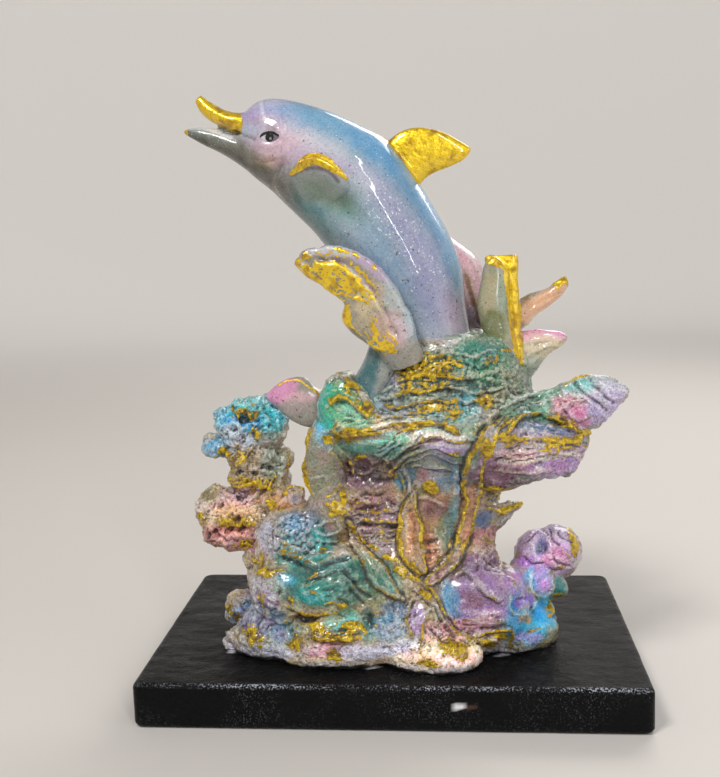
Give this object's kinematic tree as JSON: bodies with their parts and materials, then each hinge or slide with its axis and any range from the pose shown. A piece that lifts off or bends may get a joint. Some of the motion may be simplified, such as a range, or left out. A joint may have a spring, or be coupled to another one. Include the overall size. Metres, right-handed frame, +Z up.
{
  "type": "resin dolphin statue",
  "caption": "Painted resin statue: dolphins leaping and diving over a cresting wave, reef and corals, cast in one piece on a black rectangular board.",
  "frame": {"origin": "centre of the board's underside, where the statue stands", "axes": "+Z up, +X to the right of the front view, +Y towards the back; the mother dolphin leaps towards -X"},
  "size_m": [0.265, 0.17, 0.3227],
  "materials": {
    "black_gloss_paint": "hand-brushed gloss black paint over a wooden board, chipped at one place",
    "painted_resin": "pearly pastel paints with gold leaf on raised edges, under a gloss lacquer"
  },
  "bodies": {
    "root": {"plinth": "black_gloss_paint", "dolphin_cast": "painted_resin"}
  },
  "joints": []
}
